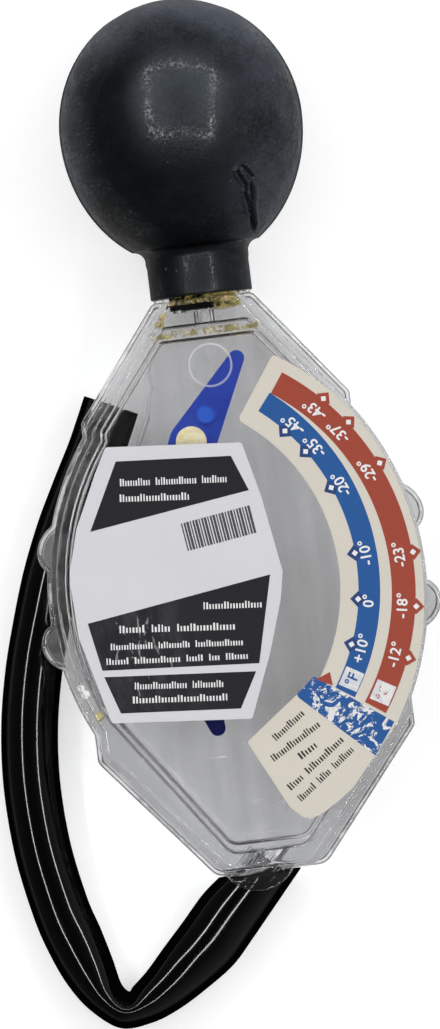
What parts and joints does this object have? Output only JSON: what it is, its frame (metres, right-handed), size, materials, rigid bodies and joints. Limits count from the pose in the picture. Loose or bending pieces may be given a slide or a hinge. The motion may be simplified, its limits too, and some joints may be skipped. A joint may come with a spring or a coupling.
{
  "type": "antifreeze tester",
  "caption": "Hand-held antifreeze tester: a squeeze bulb draws coolant through a hose into a flat clear case where a weighted pointer swings over a printed scale.",
  "frame": {"origin": "under the middle of the bulb, case and nozzle, level with the lowest point of the bulb", "axes": "+X across the case to the scale side, +Y along the case from the nozzle to the bulb, +Z out of the front face"},
  "size_m": [0.1037, 0.2303, 0.0545],
  "materials": {
    "clear_case": "clear moulded, glossy",
    "pin_steel": "drawn wire",
    "blue_plastic": "tinted, slightly see-through",
    "weight_brass": "turned, speckled",
    "bulb_rubber": "satin, dusty",
    "amber_cement": "cured glue",
    "hose_rubber": "glossy",
    "cream_label": "printed film",
    "white_label": "printed film"
  },
  "bodies": {
    "case": {"front_shell": "clear_case", "back_shell": "clear_case", "pivot_pin": "pin_steel", "stop_finger": "blue_plastic", "squeeze_bulb": "bulb_rubber", "bulb_cement": "amber_cement", "hose_nozzle": "clear_case", "suction_hose": "hose_rubber", "scale_label": "cream_label", "centre_label": "white_label"},
    "pointer": {"pointer_arm": "blue_plastic", "brass_weight": "weight_brass"}
  },
  "joints": [
    {"name": "pointer_pivot", "type": "hinge", "parent": "case", "child": "pointer", "pos_m": [-0.0205, -0.02588, 0.02725], "axis": [0, 0, 1], "range_deg": [-97, 2]}
  ]
}
